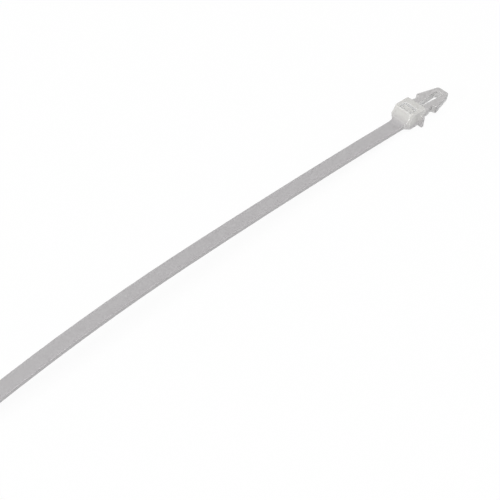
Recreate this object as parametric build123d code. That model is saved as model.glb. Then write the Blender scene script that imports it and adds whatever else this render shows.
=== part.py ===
from build123d import *
import math
import os

# A push-mount cable tie, moulded in one piece from nylon: a strap with teeth on its underside,
# a locking head with a pawl in its slot, and a split arrowhead that snaps into a panel hole.
# The head frame has X along the strap towards the arrowhead and Z up, with its origin at the
# strap root on the head's underside. The last step lays the tie down as it rests: an arch that
# stands on the tips of its two wings and on the end of its tail.

# Strap
tie_length = 200.0           # back of the head to the end of the tail
strap_width = 4.8
strap_thickness = 1.3
strap_edge_round = 0.12      # long edges of the smooth upper face
root_ramp_length = 2.0       # hollow ramp from the strap's upper face to the head
root_ramp_rise = 1.15        # of the ramp, at the head
near_bend_length = 94.0      # the flatter bend beside the head
near_bend_radius = 1700.0
far_bend_radius = 400.0

# Tail
tail_thinning_length = 25.0
tail_end_thickness = 0.8
tail_taper_length = 12.0
tail_end_width = 2.4
grip_count = 7               # low ribs across the tail's underside, for the fingers
grip_pitch = 1.5
grip_width = 0.6
grip_height = 0.15
grip_end_gap = 2.5           # last rib to the end of the tail

# Strap teeth
tooth_pitch = 1.2
tooth_height = 0.35
tooth_sink = 0.08            # crests below the two side rails
tooth_width = 3.2
first_tooth = 12.0           # bare strap beside the head
bare_tail = 27.0             # bare strap at the tail

# Head
head_length = 8.2
head_height = 5.75
side_wall = 1.35             # beside the strap slot
rear_wall = 2.8              # behind the strap slot
front_wall = 0.55            # before the pawl pocket, at the top
slope_run = 1.45             # how far the front slope leans back
slope_foot = 2.66            # height where the front slope starts
foot_corner = 0.63           # corner facet beside the foot of the slope
top_corner_width = 0.92      # corner facet at the top, across the head
top_corner_length = 0.97     # corner facet at the top, along the head
chin_length = 1.55           # lower corner facet, along the head
rear_corner_round = 0.7
head_edge_round = 0.3

# Strap slot and pawl
slot_side_clearance = 0.2
slot_thickness_clearance = 0.25
slot_lead_in = 0.3           # chamfer around the slot's mouth on the underside
pawl_side_gap = 0.45
pawl_flex_gap = 0.6          # before the pawl, at the top
pawl_pinch_gap = 0.7         # between the pawl's teeth and the rear wall, at the top
pawl_hinge_thickness = 0.9
pawl_hinge_set_back = 0.3    # between the hinge and the strap slot
pawl_floor = 1.5             # height of the pocket floor that the hinge stands on
pawl_drop = 0.3              # pawl top below the head top
pawl_teeth = 3

# Wings
wing_reach = 1.46
wing_thickness = 0.75
wing_back = 1.42             # wing's rear face before the back of the head
wing_drop = 0.42             # below the head's underside
wing_height = 4.2
wing_lean = 5.0              # degrees, the top leans towards the strap
wing_corner_round = 0.3

# Arrowhead
arrow_thickness = 2.8
arrow_height = 2.52          # of its middle plane above the head's underside
arrow_edge_round = 0.3
collar_width = 6.9
collar_length = 2.7
neck_width = 6.0
neck_length = 1.35           # end of the collar to the narrowest place
neck_flat = 0.75             # narrowest place to the foot of the barb
neck_round = 0.4             # hollow corner at the foot of the barb
barb_span = 9.1
barb_rise = 0.6              # length of the barb's slanted rear face
barb_tip_round = 0.5
nose_reach = 14.55           # nose from the back of the head
nose_width = 4.5
nose_corner_round = 1.0
arrow_slot_start = 1.4       # from the back of the head
arrow_slot_length = 11.3
arrow_slot_root_width = 1.4
arrow_slot_end_width = 2.5

joint_overlap = 0.4          # how far the sub-parts run into the head before they are fused
facing_up = 0.4              # a face whose normal rises more than this counts as an upper face

# Sizes that follow from the ones above
strap_length = tie_length - head_length
slot_width = strap_width + 2 * slot_side_clearance
head_width = slot_width + 2 * side_wall
slot_rear = head_length - rear_wall
slot_front = slot_rear - strap_thickness - slot_thickness_clearance
pocket_front = slope_run + front_wall


def strap_point(distance, depth=0.0):
    """Side-view point on the strap: distance from the head along the underside, depth above it."""
    near = min(distance, near_bend_length)
    near_turn = near / near_bend_radius
    turn = near_turn + (distance - near) / far_bend_radius
    x = -near_bend_radius * math.sin(near_turn)
    x -= far_bend_radius * (math.sin(turn) - math.sin(near_turn))
    z = -near_bend_radius * (1 - math.cos(near_turn))
    z -= far_bend_radius * (math.cos(near_turn) - math.cos(turn))
    return x - depth * math.sin(turn), z + depth * math.cos(turn)


def strap_arc(start, end, depth):
    """Arc of the strap's side view between two distances from the head."""
    middle = (start + end) / 2
    return ThreePointArc(strap_point(start, depth), strap_point(middle, depth), strap_point(end, depth))


def side_solid(edges, width):
    """Solid of a side-view outline, as wide as given and centred on the strap's middle plane."""
    return extrude(Plane.XZ * make_face(edges), width / 2, both=True)


def strap():
    """Bent strap of even thickness that thins and narrows towards the end of its tail."""
    thinning_start = strap_length - tail_thinning_length
    tail_bottom = strap_point(strap_length, strap_thickness - tail_end_thickness)
    tail_top = strap_point(strap_length, strap_thickness)
    ramp_foot = strap_point(root_ramp_length, strap_thickness)
    ramp_top = (0, strap_thickness + root_ramp_rise)
    edges = [
        strap_arc(0, near_bend_length, 0),
        strap_arc(near_bend_length, thinning_start, 0),
        tail_underside(strap_point(thinning_start), tail_bottom),
        Line(tail_bottom, tail_top),
        strap_arc(strap_length, near_bend_length, strap_thickness),
        strap_arc(near_bend_length, root_ramp_length, strap_thickness),
        TangentArc(ramp_foot, ramp_top, tangent=(1, 0)),
        Polyline(ramp_top, (joint_overlap, ramp_top[1]), (joint_overlap, 0), (0, 0)),
    ]
    body = side_solid(edges, strap_width)
    upper_faces = body.faces().filter_by(lambda face: face.normal_at().Z > facing_up)
    long_edges = upper_faces.edges().filter_by(lambda edge: abs(edge.center().Y) > strap_width / 4)
    body = fillet(long_edges, strap_edge_round)
    return body & tail_outline()


def tail_underside(start, end):
    """Side view of the thinned tail's underside, with its grip ribs."""
    along = (Vector(*end) - Vector(*start)).normalized()
    outwards = Vector(-along.Y, along.X)
    points = [start]
    for rib in range(grip_count, 0, -1):
        crest = Vector(*end) - along * (grip_end_gap + (rib - 1) * grip_pitch)
        points.append(crest - along * grip_width / 2)
        points.append(crest + outwards * grip_height)
        points.append(crest + along * grip_width / 2)
    points.append(end)
    return Polyline(*points)


def tail_outline():
    """Plan outline of the strap, extruded through its whole height."""
    end_x = strap_point(strap_length, strap_thickness)[0]
    taper_x = end_x + tail_taper_length
    half_width = strap_width / 2
    half_end = tail_end_width / 2
    drop = abs(strap_point(strap_length)[1])
    plan = Polyline(
        (joint_overlap, half_width), (taper_x, half_width), (end_x, half_end),
        (end_x, -half_end), (taper_x, -half_width), (joint_overlap, -half_width), close=True,
    )
    return extrude(make_face(plan), drop + strap_thickness + root_ramp_rise, both=True)


def tooth_channel():
    """Cutter for the recess under the strap, with its roof stepped into ratchet teeth."""
    root = tooth_sink + tooth_height
    count = int((strap_length - first_tooth - bare_tail) / tooth_pitch)
    below = -strap_thickness
    points = [strap_point(first_tooth, below), strap_point(first_tooth, root)]
    for tooth in range(count):
        start = first_tooth + tooth * tooth_pitch
        points.append(strap_point(start, tooth_sink))
        points.append(strap_point(start + tooth_pitch, root))
    points.append(strap_point(first_tooth + count * tooth_pitch, below))
    return side_solid(Polyline(*points, close=True), tooth_width)


def corner_cutter(first, second, third):
    """Plane through three points, whose normal points out of the head."""
    a, b, c = Vector(*first), Vector(*second), Vector(*third)
    normal = (b - a).cross(c - a)
    return Plane(origin=a, z_dir=normal if normal.X < 0 else -normal)


def head_block():
    """Outer form of the head: a block with a sloped front and facets on its front corners."""
    half_width = head_width / 2
    outline = Polyline(
        (0, 0), (head_length, 0), (head_length, head_height),
        (slope_run, head_height), (0, slope_foot), close=True,
    )
    block = side_solid(outline, head_width)
    rear_edges = block.edges().filter_by(Axis.Z).group_by(Axis.X)[-1]
    block = fillet(rear_edges, rear_corner_round)
    for side in (1, -1):
        foot = (0, side * (half_width - foot_corner), slope_foot)
        top = (slope_run, side * (half_width - top_corner_width), head_height)
        top_side = (slope_run + top_corner_length, side * half_width, head_height)
        chin = (0, side * strap_width / 2, 0)
        chin_side = (chin_length, side * half_width, 0)
        block = split(block, bisect_by=corner_cutter(foot, top, top_side), keep=Keep.BOTTOM)
        block = split(block, bisect_by=corner_cutter(foot, chin, chin_side), keep=Keep.BOTTOM)
    upper_faces = block.faces().filter_by(lambda face: face.normal_at().Z > facing_up)
    return fillet(upper_faces.edges(), head_edge_round)


def slot_and_pocket():
    """Cutter for the strap slot through the head and for the pawl's pocket beside it."""
    slot = Box(
        slot_rear - slot_front, slot_width, head_height + 2 * joint_overlap,
        align=(Align.MIN, Align.CENTER, Align.MIN),
    )
    pocket = Box(
        slot_rear - pocket_front, slot_width, head_height,
        align=(Align.MIN, Align.CENTER, Align.MIN),
    )
    return Pos(slot_front, 0, -joint_overlap) * slot + Pos(pocket_front, 0, pawl_floor) * pocket


def pawl():
    """Leaning tongue on a thin hinge, with ratchet teeth on the side that faces the strap slot."""
    top = head_height - pawl_drop
    hinge_rear = slot_front - pawl_hinge_set_back
    hinge_front = hinge_rear - pawl_hinge_thickness
    top_root = slot_rear - pawl_pinch_gap - tooth_height
    lean = (top_root - hinge_rear) / (top - pawl_floor)
    points = [(hinge_front, pawl_floor - joint_overlap), (hinge_rear, pawl_floor - joint_overlap)]
    points.append((hinge_rear, pawl_floor))
    for tooth in range(pawl_teeth, 0, -1):
        foot = top - tooth * tooth_pitch
        crest = foot + tooth_pitch
        points.append((hinge_rear + lean * (foot - pawl_floor), foot))
        points.append((hinge_rear + lean * (crest - pawl_floor) + tooth_height, crest))
    points.append((pocket_front + pawl_flex_gap, top))
    points.append((hinge_front, pawl_floor))
    return side_solid(Polyline(*points, close=True), slot_width - 2 * pawl_side_gap)


def wings():
    """Thin plate on each side of the head, clear of its underside and leaning towards the strap."""
    span = head_width + 2 * wing_reach
    plate = Box(wing_thickness, span, wing_height, align=(Align.MAX, Align.CENTER, Align.MIN))
    plate = fillet(plate.edges().filter_by(Axis.X), wing_corner_round)
    plate = Pos(head_length - wing_back, 0, -wing_drop) * Rot(0, -wing_lean, 0) * plate
    core = Pos(head_length / 2, 0, 0) * Box(head_length, head_width - 2 * joint_overlap, 2 * head_height)
    seat = Pos(head_length / 2, 0, -wing_drop) * Box(head_length, head_width, 2 * wing_drop)
    return plate - core - seat


def arrowhead():
    """Flat split arrowhead: collar, neck, two barbed legs and a blunt nose."""
    neck = head_length + collar_length + neck_length
    barb_foot = neck + neck_flat
    nose = head_length + nose_reach
    half = [
        (head_length - joint_overlap, collar_width / 2),
        (head_length + collar_length, collar_width / 2),
        (neck, neck_width / 2),
        (barb_foot, neck_width / 2),
        (barb_foot + barb_rise, barb_span / 2),
        (nose, nose_width / 2),
    ]
    other_half = [(x, -y) for x, y in reversed(half)]
    plan = make_face(Polyline(*half, *other_half, close=True))
    # From the nose back, so that the places of the corners still to be rounded stay the same.
    for place, radius in ((5, nose_corner_round), (4, barb_tip_round), (3, neck_round)):
        plan = fillet(plan.vertices().group_by(Axis.X)[place], radius)
    blade = extrude(plan - arrow_slot(), arrow_thickness / 2, both=True)
    blade = fillet(blade.faces().filter_by(Axis.Z).edges(), arrow_edge_round)
    return Pos(0, 0, arrow_height) * blade


def arrow_slot():
    """Plan of the slot between the legs, which widens towards a round end at the nose."""
    start = head_length + arrow_slot_start
    end = start + arrow_slot_length
    root = arrow_slot_root_width / 2
    tip = arrow_slot_end_width / 2
    sides = Polyline((end - tip, tip), (start, root), (start, -root), (end - tip, -tip))
    return make_face([sides, ThreePointArc((end - tip, -tip), (end, 0), (end - tip, tip))])


def head():
    """Locking head with its slot, pawl and wings."""
    block = head_block() + wings() - slot_and_pocket()
    underside = block.faces().filter_by(Plane.XY).group_by(Axis.Z)[0][0]
    block = chamfer(underside.inner_wires()[0].edges(), slot_lead_in)
    return block + pawl()


def rest_angle():
    """Angle in degrees that brings the wing tips and the end of the tail level."""
    wing_x, wing_z = head_length - wing_back, -wing_drop
    tail_x, tail_z = strap_point(strap_length, strap_thickness - tail_end_thickness)
    return math.degrees(math.atan2(wing_z - tail_z, wing_x - tail_x))


def cable_tie():
    """Whole tie, standing as an arch with the middle of its footprint at the origin."""
    tie = head() + arrowhead() + strap() - tooth_channel()
    tie = Rot(0, rest_angle(), 0) * tie
    box = tie.bounding_box()
    return Pos(-box.center().X, 0, -box.min.Z) * tie


os.makedirs("parts", exist_ok=True)
export_step(cable_tie(), "parts/cable_tie.step")
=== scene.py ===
import bmesh
import bpy
import math
from mathutils import Euler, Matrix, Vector

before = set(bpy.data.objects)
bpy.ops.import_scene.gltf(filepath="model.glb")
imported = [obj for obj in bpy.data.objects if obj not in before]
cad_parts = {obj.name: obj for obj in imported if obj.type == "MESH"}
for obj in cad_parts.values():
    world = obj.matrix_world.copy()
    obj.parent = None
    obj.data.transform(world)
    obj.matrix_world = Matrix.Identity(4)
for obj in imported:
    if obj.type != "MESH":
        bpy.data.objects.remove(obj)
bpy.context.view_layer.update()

MM = 0.001

# Camera: it looks down on the tie from the strap's side, with the head at the upper right.
image_width = 500
focal_length_px = 1006.0
sensor_width_mm = 36.0
view_azimuth = -42.84        # degrees, 0 looks along +Y
view_elevation = 50.17       # degrees above the floor
view_target = Vector((13.02, -5.37, 0.0)) * MM
view_distance = 297.84 * MM
nearest_seen = 1 * MM

# Where the nylon is thick and where it is thin, in the tie's own axes, and where the head's lower part takes
# painted shade
head_front_x = 84.5 * MM
head_back_x = 93.8 * MM
head_half_width = 4.6 * MM
# below this height the head takes the strap's grey: painted shade, darker towards the bottom
head_painted_shade_z = 2.4 * MM
arrow_root_x = 92.7 * MM
neck_x = 95.7 * MM
thickness_blend = 1.2 * MM   # half the width of the change from thick to thin
arrow_milkiness = 0.3        # of the arrowhead, where the strap has 0 and the head has 1

# The arrowhead's outer side walls, drawn greyer as painted shade, because less light falls on them than on
# its top
side_turn = 0.6              # from where a face counts as a side wall, as the share of its normal along Y
side_turn_blend = 0.3
slot_wall_y = 1.7 * MM       # the arrowhead's slot lies inside this, and its outer side walls outside
slot_wall_blend = 0.3 * MM
arrow_side_painted_shade = 0.8

# The gaps, which take a painted glow: white put in by an occlusion mask, standing in for light that comes
# through the walls
# the painted glow in the gaps starts here
glow_front_x = 84.2 * MM     # light comes through into the gaps from here on, and not in the strap
glow_front_blend = 0.25 * MM
glow_half_width = 4.1 * MM   # and up to here, and not in the wings
glow_side_blend = 0.6 * MM
gap_depth_thin = 2.3 * MM    # how deep a gap is before it glows, in thin and in thick nylon
gap_depth_thick = 3.1 * MM
full_glow_openness = 0.25    # share of open sky over a place that glows fully
no_glow_openness = 0.95      # and over one that doesn't glow
gap_samples = 16

# Colours of the nylon, and how far light spreads inside it
strap_colour = "BAB8B9"
head_colour = "D4D3D0"
# painted shade colour for the arrowhead's outer side walls
arrow_side_shade_colour = "A6A4A5"
# painted glow colour for the deep gaps
painted_glow_colour = "FFFFFE"
strap_light_path = 0.35 * MM
head_light_path = 0.6 * MM
glow_light_path = 6.0 * MM

# Flow marks along the strap and cloudy patches in the head, lighter and darker by a share
noise_low = 0.3              # nearly all of a noise pattern lies between these two
noise_high = 0.7
flow_mark_length = 40 * MM
flow_mark_width = 0.8 * MM
flow_mark_change = 0.01
patch_size = 1.5 * MM
patch_change = 0.05

# Satin surface of the moulding
nylon_ior = 1.53
smoothest = 0.13
roughest = 0.19
edge_radius = 0.08 * MM
edge_samples = 6
wave_length = 5 * MM
wave_height = 0.05 * MM
wave_strength = 0.2
grain_size = 0.4 * MM
grain_height = 0.015 * MM
strap_grain_strength = 0.03
head_grain_strength = 0.3

# Studio light. A share is what a light adds to a surface that faces it, where 1 shows white as white.
light_colour = "FFFFFF"
sky_share = 0.55
lamp_distance = 2.5
lamps = (                    # name, share, size in metres, direction towards the lamp
    ("top", 0.32, 1.6, (0.0, 0.0, 1.0)),
    ("key", 0.16, 1.5, (-0.62, -0.33, 0.71)),
    ("edge", 0.22, 0.14, (-0.952, 0.096, 0.287)),
)
floor_size = 12.0
paper_colour = "FAFAFA"
backdrop_share = 0.93        # how much of the floor's look is plain white, the rest takes shadow


def colour(hex_code):
    """Linear RGBA of an sRGB hex colour."""
    channels = [int(hex_code[i:i + 2], 16) / 255 for i in (0, 2, 4)]
    linear = [c / 12.92 if c <= 0.04045 else ((c + 0.055) / 1.055) ** 2.4 for c in channels]
    return (*linear, 1.0)


def add_node(tree, kind, settings=None, inputs=None):
    """Adds a node, sets its properties and fills or links its inputs."""
    node = tree.nodes.new(kind)
    for name, value in (settings or {}).items():
        setattr(node, name, value)
    for name, value in (inputs or {}).items():
        if isinstance(value, bpy.types.NodeSocket):
            tree.links.new(value, node.inputs[name])
        else:
            node.inputs[name].default_value = value
    return node


def new_material(name):
    """Material with an empty node tree."""
    material = bpy.data.materials.new(name)
    material.use_nodes = True
    material.node_tree.nodes.clear()
    return material, material.node_tree


def region_share(tree, inside, edges):
    """Value that is as given inside a region of the tie, and goes softly to 0 over its edges.

    Each edge has the measure that it lies on, whether the region is above or below it, where it
    lies, and half the width of the soft change.
    """
    share = inside
    for measure, region_is, edge, blend in edges:
        step = add_node(tree, "ShaderNodeMapRange", {"interpolation_type": "SMOOTHSTEP"}, {
            "Value": measure, "From Min": edge - blend, "From Max": edge + blend,
            "To Min": float(region_is == "below"), "To Max": float(region_is == "above"),
        })
        product = add_node(tree, "ShaderNodeMath", {"operation": "MULTIPLY"}, {
            0: share, 1: step.outputs["Result"],
        })
        share = product.outputs["Value"]
    return share


def thick_share(tree, x, side, z):
    """1 in the thick head above its painted shade line, 0 in the thin strap, the wings and the head's lower
    part, which takes painted shade, and between them in the arrowhead.
    """
    head = region_share(tree, 1.0, (
        (x, "above", head_front_x, thickness_blend),
        (x, "below", head_back_x, thickness_blend),
        (side, "below", head_half_width, thickness_blend),
        # the head's lower part gets the strap's grey as painted shade
        (z, "above", head_painted_shade_z, thickness_blend),
    ))
    arrow = region_share(tree, arrow_milkiness, ((x, "above", arrow_root_x, thickness_blend),))
    return add_node(tree, "ShaderNodeMath", {"operation": "MAXIMUM"}, {0: head, 1: arrow}).outputs["Value"]


def painted_side_wall_shade(tree, x, side, facing):
    """Share of painted shade on the arrowhead's outer side walls, which get less light than its top."""
    return region_share(tree, arrow_side_painted_shade, (
        (facing, "above", side_turn, side_turn_blend),
        (x, "above", neck_x, thickness_blend),
        (side, "above", slot_wall_y, slot_wall_blend),
    ))


def painted_gap_glow(tree, x, side, thickness):
    """1 deep in the gaps and slots, where a painted white glow stands in for light that has come through the
    walls.
    """
    depth = add_node(tree, "ShaderNodeMapRange", inputs={
        "Value": thickness, "To Min": gap_depth_thin, "To Max": gap_depth_thick,
    })
    open_sky = add_node(tree, "ShaderNodeAmbientOcclusion", {"samples": gap_samples}, {
        "Distance": depth.outputs["Result"],
    })
    enclosed = add_node(tree, "ShaderNodeMapRange", inputs={
        "Value": open_sky.outputs["AO"], "From Min": full_glow_openness, "From Max": no_glow_openness,
        "To Min": 1.0, "To Max": 0.0,
    })
    return region_share(tree, enclosed.outputs["Result"], (
        (x, "above", glow_front_x, glow_front_blend),
        (side, "below", glow_half_width, glow_side_blend),
    ))


def body_colour(tree, thickness, walls, glow):
    """Greyer in the thin strap and in the head's lower part, with painted shade on the arrowhead's side
    walls and a painted glow in the gaps.
    """
    body = colour(strap_colour)
    for share, hex_code in ((thickness, head_colour), (walls, arrow_side_shade_colour), (glow, painted_glow_colour)):
        mix = add_node(tree, "ShaderNodeMix", {"data_type": "RGBA"}, {
            "Factor": share, "A": body, "B": colour(hex_code),
        })
        body = mix.outputs["Result"]
    return body


def uneven_shade(tree, place, thickness, clouds):
    """Brightness around 1, with flow marks along the thin strap and cloudy patches in the thick head."""
    stretched = add_node(tree, "ShaderNodeMapping", inputs={
        "Vector": place, "Scale": (1 / flow_mark_length, 1 / flow_mark_width, 1 / flow_mark_width),
    })
    flow = add_node(tree, "ShaderNodeTexNoise", inputs={
        "Vector": stretched.outputs["Vector"], "Scale": 1.0, "Detail": 2.0, "Roughness": 0.5,
    })
    streaks = add_node(tree, "ShaderNodeMapRange", inputs={
        "Value": flow.outputs["Fac"], "From Min": noise_low, "From Max": noise_high,
        "To Min": 1 - flow_mark_change, "To Max": 1 + flow_mark_change,
    })
    patches = add_node(tree, "ShaderNodeMapRange", inputs={
        "Value": clouds, "From Min": noise_low, "From Max": noise_high,
        "To Min": 1 - patch_change, "To Max": 1 + patch_change,
    })
    shade = add_node(tree, "ShaderNodeMix", {"data_type": "FLOAT"}, {
        "Factor": thickness, "A": streaks.outputs["Result"], "B": patches.outputs["Result"],
    })
    return shade.outputs["Result"]


def moulded_surface(tree, place, thickness):
    """Normal of the moulded surface, with its soft edges, its waves and its grain."""
    soft_edges = add_node(tree, "ShaderNodeBevel", {"samples": edge_samples}, {"Radius": edge_radius})

    # Soft waviness where the nylon shrank
    waves = add_node(tree, "ShaderNodeTexNoise", inputs={
        "Vector": place, "Scale": 1 / wave_length, "Detail": 1.0, "Roughness": 0.5,
    })
    wavy = add_node(tree, "ShaderNodeBump", inputs={
        "Height": waves.outputs["Fac"], "Strength": wave_strength, "Distance": wave_height,
        "Normal": soft_edges.outputs["Normal"],
    })

    # The sparked texture. Its grain of 0.1 mm is too fine to show in the render, so it is drawn about
    # four times as coarse.
    grain = add_node(tree, "ShaderNodeTexNoise", inputs={
        "Vector": place, "Scale": 1 / grain_size, "Detail": 2.0, "Roughness": 0.5,
    })
    grain_strength = add_node(tree, "ShaderNodeMapRange", inputs={
        "Value": thickness, "To Min": strap_grain_strength, "To Max": head_grain_strength,
    })
    grained = add_node(tree, "ShaderNodeBump", inputs={
        "Height": grain.outputs["Fac"], "Strength": grain_strength.outputs["Result"],
        "Distance": grain_height, "Normal": wavy.outputs["Normal"],
    })
    return grained.outputs["Normal"]


def light_path(tree, thickness, glow):
    """How far light spreads inside: least in the thin strap and most where the gaps glow."""
    in_body = add_node(tree, "ShaderNodeMapRange", inputs={
        "Value": thickness, "From Max": arrow_milkiness,
        "To Min": strap_light_path, "To Max": head_light_path,
    })
    path = add_node(tree, "ShaderNodeMapRange", inputs={
        "Value": glow, "To Min": in_body.outputs["Result"], "To Max": glow_light_path,
    })
    return path.outputs["Result"]


def natural_nylon():
    """Natural nylon 66, injection moulded in a finely sparked mould.

    It is a milky, slightly warm white that light sinks into. Thick parts scatter more of that
    light back and look whiter, and the thin strap looks greyer. The head's lower part and the
    arrowhead's side walls carry painted shade, and the deep gaps a painted glow. The surface is satin.
    """
    material, tree = new_material("natural_nylon_66")
    coordinates = add_node(tree, "ShaderNodeTexCoord")
    place = coordinates.outputs["Object"]
    x, y, z = add_node(tree, "ShaderNodeSeparateXYZ", inputs={"Vector": place}).outputs
    side = add_node(tree, "ShaderNodeMath", {"operation": "ABSOLUTE"}, {0: y}).outputs["Value"]
    normal = add_node(tree, "ShaderNodeSeparateXYZ", inputs={"Vector": coordinates.outputs["Normal"]})
    facing = add_node(tree, "ShaderNodeMath", {"operation": "ABSOLUTE"}, {0: normal.outputs["Y"]})

    thickness = thick_share(tree, x, side, z)
    # painted shade on the arrowhead's outer side walls
    walls = painted_side_wall_shade(tree, x, side, facing.outputs["Value"])
    # painted glow in the gaps, which also lengthens the light path there
    glow = painted_gap_glow(tree, x, side, thickness)

    clouds = add_node(tree, "ShaderNodeTexNoise", inputs={
        "Vector": place, "Scale": 1 / patch_size, "Detail": 4.0, "Roughness": 0.75,
    }).outputs["Fac"]
    shaded = add_node(tree, "ShaderNodeVectorMath", {"operation": "SCALE"}, {
        "Vector": body_colour(tree, thickness, walls, glow),
        "Scale": uneven_shade(tree, place, thickness, clouds),
    })
    satin = add_node(tree, "ShaderNodeMapRange", inputs={
        "Value": clouds, "From Min": noise_low, "From Max": noise_high,
        "To Min": smoothest, "To Max": roughest,
    })
    nylon = add_node(tree, "ShaderNodeBsdfPrincipled", {"subsurface_method": "RANDOM_WALK"}, {
        "Base Color": shaded.outputs["Vector"], "Roughness": satin.outputs["Result"], "IOR": nylon_ior,
        "Normal": moulded_surface(tree, place, thickness),
        "Subsurface Weight": 1.0, "Subsurface Radius": (1.0, 1.0, 1.0),
        "Subsurface Scale": light_path(tree, thickness, glow),
    })
    add_node(tree, "ShaderNodeOutputMaterial", inputs={"Surface": nylon.outputs["BSDF"]})
    return material


def camera_sees(tree):
    """1 for rays that show the background, straight or by reflection, and 0 for the light itself."""
    rays = add_node(tree, "ShaderNodeLightPath")
    seen = rays.outputs["Is Camera Ray"]
    for kind in ("Is Glossy Ray", "Is Transmission Ray"):
        either = add_node(tree, "ShaderNodeMath", {"operation": "MAXIMUM"}, {0: seen, 1: rays.outputs[kind]})
        seen = either.outputs["Value"]
    return seen


def matt_paper():
    """Smooth white studio paper, which shows as white and still takes the tie's soft shadow."""
    material, tree = new_material("matt_white_paper")
    paper = add_node(tree, "ShaderNodeBsdfDiffuse", inputs={"Color": colour(paper_colour)})
    plain = add_node(tree, "ShaderNodeEmission", inputs={"Color": colour(light_colour), "Strength": 1.0})
    plain_share = add_node(tree, "ShaderNodeMath", {"operation": "MULTIPLY"}, {
        0: camera_sees(tree), 1: backdrop_share,
    })
    mixed = add_node(tree, "ShaderNodeMixShader", inputs={
        0: plain_share.outputs["Value"], 1: paper.outputs["BSDF"], 2: plain.outputs["Emission"],
    })
    add_node(tree, "ShaderNodeOutputMaterial", inputs={"Surface": mixed.outputs["Shader"]})
    return material


def floor():
    """Plain pale floor under the tie."""
    sheet = bmesh.new()
    bmesh.ops.create_grid(sheet, x_segments=1, y_segments=1, size=floor_size / 2)
    mesh = bpy.data.meshes.new("floor")
    sheet.to_mesh(mesh)
    sheet.free()
    mesh.materials.append(matt_paper())
    plane = bpy.data.objects.new("floor", mesh)
    bpy.context.scene.collection.objects.link(plane)


def sky():
    """Even light from all round, which shows as plain white behind the floor."""
    world = bpy.data.worlds.new("studio")
    world.use_nodes = True
    tree = world.node_tree
    tree.nodes.clear()
    strength = add_node(tree, "ShaderNodeMapRange", inputs={
        "Value": camera_sees(tree), "To Min": sky_share, "To Max": 1.0,
    })
    light = add_node(tree, "ShaderNodeBackground", inputs={
        "Color": colour(light_colour), "Strength": strength.outputs["Result"],
    })
    add_node(tree, "ShaderNodeOutputWorld", inputs={"Surface": light.outputs["Background"]})
    bpy.context.scene.world = world


def soft_lamp(name, share, size, direction):
    """Square soft box that shines on the tie from the given direction."""
    towards = Vector(direction).normalized()
    lamp = bpy.data.lights.new(name, "AREA")
    lamp.energy = share * math.pi ** 2 * lamp_distance ** 2
    lamp.size = size
    lamp_object = bpy.data.objects.new(name, lamp)
    lamp_object.location = towards * lamp_distance
    lamp_object.rotation_euler = towards.to_track_quat("Z", "Y").to_euler()
    bpy.context.scene.collection.objects.link(lamp_object)


def camera():
    """Camera at the photograph's angle and distance."""
    data = bpy.data.cameras.new("camera")
    data.sensor_width = sensor_width_mm
    data.lens = focal_length_px / image_width * sensor_width_mm
    data.clip_start = nearest_seen
    viewer = bpy.data.objects.new("camera", data)
    turn = Euler((math.radians(90 - view_elevation), 0, math.radians(view_azimuth)))
    viewer.rotation_euler = turn
    viewer.location = view_target + turn.to_matrix() @ Vector((0, 0, view_distance))
    bpy.context.scene.collection.objects.link(viewer)
    bpy.context.scene.camera = viewer


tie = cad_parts["cable_tie"]
nylon = natural_nylon()
for slot in tie.material_slots:
    slot.material = nylon

floor()
sky()
for name, share, size, direction in lamps:
    soft_lamp(name, share, size, direction)
camera()
bpy.context.scene.view_settings.view_transform = "Standard"
